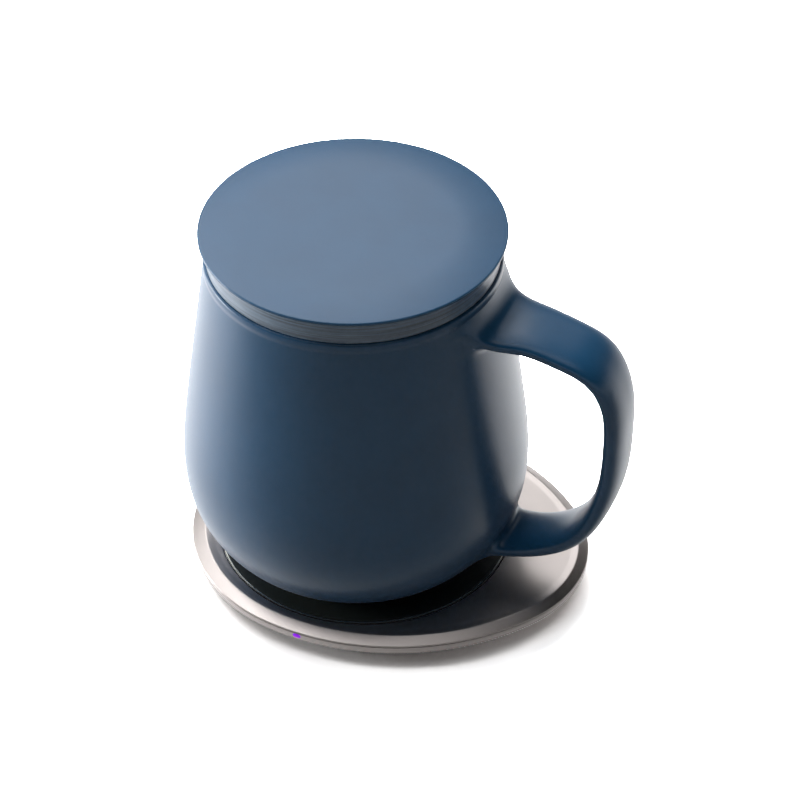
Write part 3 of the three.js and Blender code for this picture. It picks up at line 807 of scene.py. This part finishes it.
def blended_slope(points):
    return np.stack([
        (blended_distance(points + offset) - blended_distance(points - offset)) / (2 * PROBE)
        for offset in np.eye(3) * PROBE
    ], 1)


def blend_handle(obj):
    """Moves the skin near the joins out onto a smooth surface that flows from body to strap."""
    bm = bmesh.new()
    bm.from_mesh(obj.data)
    bmesh.ops.triangulate(bm, faces=bm.faces)
    for _ in range(2):
        co = np.array([v.co for v in bm.verts])
        near = in_join(co)
        long_edges = [e for e in bm.edges
                      if all(near[v.index] for v in e.verts) and e.calc_length() > FINEST_EDGE]
        bmesh.ops.subdivide_edges(bm, edges=long_edges, cuts=1)
        bmesh.ops.triangulate(bm, faces=bm.faces)
        bm.verts.ensure_lookup_table()
        bm.verts.index_update()
    co = np.array([v.co for v in bm.verts])
    moving = np.flatnonzero(in_join(co))
    points = co[moving]
    for _ in range(12):
        slope = blended_slope(points)
        length = np.maximum((slope**2).sum(1, keepdims=True), TINY)
        points = points - 0.8 * blended_distance(points)[:, None] * slope / length
    for index, point in zip(moving, points):
        bm.verts[index].co = point
    bm.to_mesh(obj.data)
    bm.free()


def in_join(points):
    a, b = body_distance(points), strap_distance(points)
    on_skin = np.abs(np.minimum(a, b)) < SKIN_DEPTH
    return on_skin & (np.abs(a - b) < BLEND) & (points[:, 2] < MUG_HEIGHT - 2 * RIM_ROUND)


def mug_body():
    mug = spun("glazed_mug", mug_profile(), (0, 0), steps=256)
    cut(mug, handle_strap(), operation="UNION")
    blend_handle(mug)
    mug.data.transform(Matrix.Translation((MUG_AXIS.x, MUG_AXIS.y, MUG_BASE)))
    shade(mug, 50)
    return dress(mug, "navy_glaze", "mug", "mug_body", "mug_handle")


# Lid
CROWN_RISE = 0.6 * MM
CROWN_WIDTH = 11 * MM
CROWN_ROUND = 90 * MM
LID_EDGE = LID_TOP - CROWN_RISE
LID_EDGE_ROUND = 0.7 * MM
LID_UNDER = LID_EDGE - 0.85 * MM
LID_CEILING = LID_EDGE - 3.9 * MM
LID_GAP = 0.2 * MM
LID_BOTTOM = high("mug_body").z + LID_GAP
SKIRT_RADIUS = LID_RADIUS - 1.8 * MM
SKIRT_ROUND = 0.12 * MM
SKIRT_RINGS = 60
SKIRT_WAVES = ((0.008 * MM, 23, 0), (0.005 * MM, 41, 1), (0.003 * MM, 77, 0))
# How softly the skirt's painted sheen fades in at its top and bottom
SKIRT_SHEEN_FADE = 0.2 * MM
PLUG_RADIUS = MOUTH_RADIUS - MUG_WALL - 0.9 * MM
PLUG_WALL = 3 * MM
PLUG_ROUND = 0.8 * MM
PLUG_BOTTOM = low("lid_body").z
SEAL_DEPTH = 1 * MM
SEAL_GROOVE = PLUG_BOTTOM + 2 * MM, PLUG_BOTTOM + 4 * MM
SEAL_LIP = 0.6 * MM


def lid_body():
    groove_low, groove_high = SEAL_GROOVE
    hollow = PLUG_RADIUS - PLUG_WALL
    wall = [(SKIRT_RADIUS + skirt_ripple(share), LID_UNDER + (LID_BOTTOM - LID_UNDER) * share, 0)
            for share in np.linspace(0.03, 0.96, SKIRT_RINGS)]
    profile = rounded([
        (0, LID_TOP, 0),
        (LID_RADIUS - CROWN_WIDTH, LID_TOP, CROWN_ROUND),
        (LID_RADIUS, LID_EDGE, LID_EDGE_ROUND),
        (LID_RADIUS, LID_UNDER, 0.15 * MM),
        (SKIRT_RADIUS, LID_UNDER, SKIRT_ROUND),
        *wall,
        (SKIRT_RADIUS, LID_BOTTOM, SKIRT_ROUND),
        (PLUG_RADIUS, LID_BOTTOM, 0.3 * MM),
        (PLUG_RADIUS, groove_high, 0.1 * MM),
        (PLUG_RADIUS - SEAL_DEPTH, groove_high, 0),
        (PLUG_RADIUS - SEAL_DEPTH, groove_low, 0),
        (PLUG_RADIUS, groove_low, 0.1 * MM),
        (PLUG_RADIUS, PLUG_BOTTOM, PLUG_ROUND),
        (hollow, PLUG_BOTTOM, PLUG_ROUND),
        (hollow, LID_CEILING, 1.5 * MM),
        (0, LID_CEILING, 0),
    ], closed=False)
    lid = spun("glazed_lid", profile, MUG_AXIS)
    # The lid's glaze with a painted sheen on its skirt
    finish = painted_sheen_on_skirt(LID_BOTTOM - LID_GAP, LID_UNDER - 0.05 * MM)
    return dress(lid, "navy_glaze", "lid", "lid_body", finish=finish)


def painted_sheen_on_skirt(bottom, top):
    """A painted sheen on the lid's skirt: a pale grey-blue laid in streaked bands over the glaze there,
    standing in for the light the skirt reflects.
    """
    mat = navy_glaze()
    mat.name = "navy_glaze_lid"
    tree = mat.node_tree
    level = place_of(tree)["Z"]
    above = stepped(tree, level, bottom, bottom + SKIRT_SHEEN_FADE)
    inside = summed(tree, (above, stepped(tree, level, top - SKIRT_SHEEN_FADE, top, 1, 0)))
    turned = noise(tree, 260, 3, (0.12, 0.12, 8))
    # Painted sheen, in streaked bands round the skirt from stretched noise
    painted_sheen_streaks = ramp(tree, turned, tinted(SKIRT_SHEEN_PAINT, 0.6), tinted(SKIRT_SHEEN_PAINT, 1.15))
    overlay(tree, tree.nodes["Principled BSDF"], inside, painted_sheen_streaks)
    return mat


def skirt_ripple(share):
    """Throwing lines left round the lid's skirt, about a hundredth of a millimetre deep."""
    return sum(depth * math.sin(pace * share + start) for depth, pace, start in SKIRT_WAVES)


def lid_seal():
    bottom, top = low("lid_seal").z, high("lid_seal").z
    outer = (high("lid_seal").x - low("lid_seal").x) / 2
    inner = PLUG_RADIUS - SEAL_DEPTH + 0.15 * MM
    profile = rounded([
        (inner, bottom, 0.1 * MM),
        (outer - SEAL_LIP, bottom, 0.2 * MM),
        (outer, (bottom + top) / 2, 0.5 * MM),
        (outer - SEAL_LIP, top, 0.2 * MM),
        (inner, top, 0.1 * MM),
    ])
    return dress(spun("plug_ring", profile, MUG_AXIS), "dark_silicone", "lid", "lid_seal")


# The photograph's view
VIEW_TURN = math.radians(17.5)
CAMERA_SPOT = (0.18543, -0.59614, 0.5747)
CAMERA_YAW = 0.01952
CAMERA_PITCH = 0.69518
CAMERA_ROLL = -0.00445
FOCAL_PIXELS = 2994
IMAGE_PIXELS = 800
SENSOR = 36


def camera():
    data = bpy.data.cameras.new("camera")
    data.sensor_width = SENSOR
    data.lens = SENSOR * FOCAL_PIXELS / IMAGE_PIXELS
    data.clip_start, data.clip_end = 0.05, 20
    cam = bpy.data.objects.new("camera", data)
    bpy.context.scene.collection.objects.link(cam)
    cam.location = CAMERA_SPOT
    turn = (Matrix.Rotation(VIEW_TURN - CAMERA_YAW, 4, "Z")
            @ Matrix.Rotation(math.pi / 2 - CAMERA_PITCH, 4, "X")
            @ Matrix.Rotation(CAMERA_ROLL, 4, "Z"))
    cam.rotation_mode = "QUATERNION"
    cam.rotation_quaternion = turn.to_quaternion()
    bpy.context.scene.camera = cam


# Studio
def by_ray(tree, seen, mirrored, lit):
    """One number for the camera, one for what gloss and glass see, and one for soft light off surfaces."""
    path = tree.nodes.new("ShaderNodeLightPath")
    return summed(tree, (path.outputs["Is Camera Ray"], seen), (path.outputs["Is Glossy Ray"], mirrored),
                  (path.outputs["Is Transmission Ray"], mirrored), (path.outputs["Is Diffuse Ray"], lit))


def white_paper(name, grey, glow):
    """Paper that is part matt surface and part plain glow; both are functions of the node tree."""
    mat, tree, _ = material(name, (0.8,) * 3, 1)
    matt = tree.nodes.new("ShaderNodeBsdfDiffuse")
    tree.links.new(grey(tree), matt.inputs["Color"])
    gleam = tree.nodes.new("ShaderNodeEmission")
    tree.links.new(glow(tree), gleam.inputs["Strength"])
    both = tree.nodes.new("ShaderNodeAddShader")
    tree.links.new(matt.outputs["BSDF"], both.inputs[0])
    tree.links.new(gleam.outputs["Emission"], both.inputs[1])
    tree.links.new(both.outputs["Shader"], tree.nodes["Material Output"].inputs["Surface"])
    return mat


STUDIO_REACH = 6
BACKDROP_HEIGHT = 1.3
BACKDROP_SIDES = 48
SHADE_FRONT = (-0.1, 0.05)
SOFT_GREY = 0.3
PAD_MIDDLE = (high("base_shell") + low("base_shell")) / 2
PAD_HALF = (high("base_shell") - low("base_shell")) / 2
# Painted shadow round the pad, as the camera sees the floor: greys low by the pad, high on open floor
SHADOW_LEFT_GREY = 1.9
SHADOW_RIGHT_GREY = 4.8
UNDER_PAD_SHARE = 0.5
OPEN_FLOOR_GREY = 7.5
ROOM_LIGHT = 0.02


def towards_back(tree, front, back):
    """Runs from one value at the front, on the camera's side, to the other at the back and left."""
    place = place_of(tree)
    return stepped(tree, summed(tree, (place["Y"], 1), (place["X"], -0.4)), *SHADE_FRONT, front, back)


def floor_grey(tree):
    """The camera sees paper with a painted shadow round the pad: its grey is low by the pad and rises away
    from it, sooner by its right end than its left.
    """
    reach = reach_from_axis(tree, PAD_MIDDLE.x, PAD_HALF.x, PAD_HALF.y)
    left, right = PAD_MIDDLE.x - 0.4 * PAD_HALF.x, PAD_MIDDLE.x + PAD_HALF.x
    beside = stepped(tree, place_of(tree)["X"], left, right, SHADOW_LEFT_GREY, SHADOW_RIGHT_GREY)
    seen = summed(tree, (beside, stepped(tree, reach, 0.94, 1, UNDER_PAD_SHARE, 1)),
                  (stepped(tree, reach, 1.05, 1.2), OPEN_FLOOR_GREY))
    # Gloss sees painted shade too: the paper's grey is darker towards the front
    return by_ray(tree, seen, towards_back(tree, 0.55, 1.4), SOFT_GREY)


def floor_glow(tree):
    """Painted shade for gloss: the paper's glow fades out towards the front, as a table does in front of a
    dark room.
    """
    return by_ray(tree, 0, towards_back(tree, 0, 1), 0)


def floor():
    size = STUDIO_REACH
    ground = mesh_object("floor", [(-size, -size, 0), (size, -size, 0), (size, size, 0), (-size, size, 0)],
                         [[0, 1, 2, 3]])
    ground.data.materials.append(white_paper("floor", floor_grey, floor_glow))


def backdrop():
    """A low white wall all round, which closes the floor's far edge."""
    sides = BACKDROP_SIDES
    turns = [2 * math.pi * i / sides for i in range(sides)]
    corners = [(STUDIO_REACH * math.cos(turn), STUDIO_REACH * math.sin(turn), height)
               for height in (-0.01, BACKDROP_HEIGHT) for turn in turns]
    faces = [[i, (i + 1) % sides, sides + (i + 1) % sides, sides + i] for i in range(sides)]
    wall = mesh_object("backdrop", corners, faces)
    wall.data.materials.append(white_paper("backdrop", lambda tree: by_ray(tree, 0, 0, SOFT_GREY),
                                           lambda tree: by_ray(tree, 1, 1, 0)))


def world():
    scene_world = bpy.data.worlds.new("studio")
    bpy.context.scene.world = scene_world
    scene_world.use_nodes = True
    tree = scene_world.node_tree
    background = tree.nodes["Background"]
    background.inputs["Color"].default_value = (1, 1, 1, 1)
    tree.links.new(by_ray(tree, 1, ROOM_LIGHT, ROOM_LIGHT), background.inputs["Strength"])


# Soft boxes: bearing from +X and height in degrees, width and height in metres, watts
LAMPS = [
    ("left_low", 180, 6, (0.8, 0.3), 22),
    ("back_right", 90, 44, (0.8, 0.9), 2),
    ("back_middle", 120, 44, (0.8, 0.9), 6.4),
    ("back_left", 150, 44, (0.8, 0.9), 5.8),
    ("back_top", 105, 70, (0.8, 0.6), 2.2),
    ("left_high", 180, 65, (0.8, 0.7), 9),
    ("front_high", 285, 78, (1.1, 0.8), 2.8),
]
LAMP_AIM = Vector((0, 0, 0.05))
LAMP_DISTANCE = 1.6


def soft_box(name, bearing, height, size, power):
    data = bpy.data.lights.new(name, "AREA")
    data.shape = "RECTANGLE"
    data.size, data.size_y = size
    data.energy = power
    lamp = bpy.data.objects.new(name, data)
    bpy.context.scene.collection.objects.link(lamp)
    turn, climb = math.radians(bearing), math.radians(height)
    way = Vector((math.cos(turn) * math.cos(climb), math.sin(turn) * math.cos(climb), math.sin(climb)))
    lamp.location = LAMP_AIM + way * LAMP_DISTANCE
    lamp.rotation_mode = "QUATERNION"
    lamp.rotation_quaternion = (-way).to_track_quat("-Z", "Y")


def studio():
    world()
    floor()
    backdrop()
    for lamp in LAMPS:
        soft_box(*lamp)
    bpy.context.scene.view_settings.view_transform = "Standard"


dress_frame()
tray_cover()
base_shell()
charging_plate()
plate_ring()
foot_pad()
heating_coil()
status_light()
mug_body()
lid_body()
lid_seal()
camera()
studio()
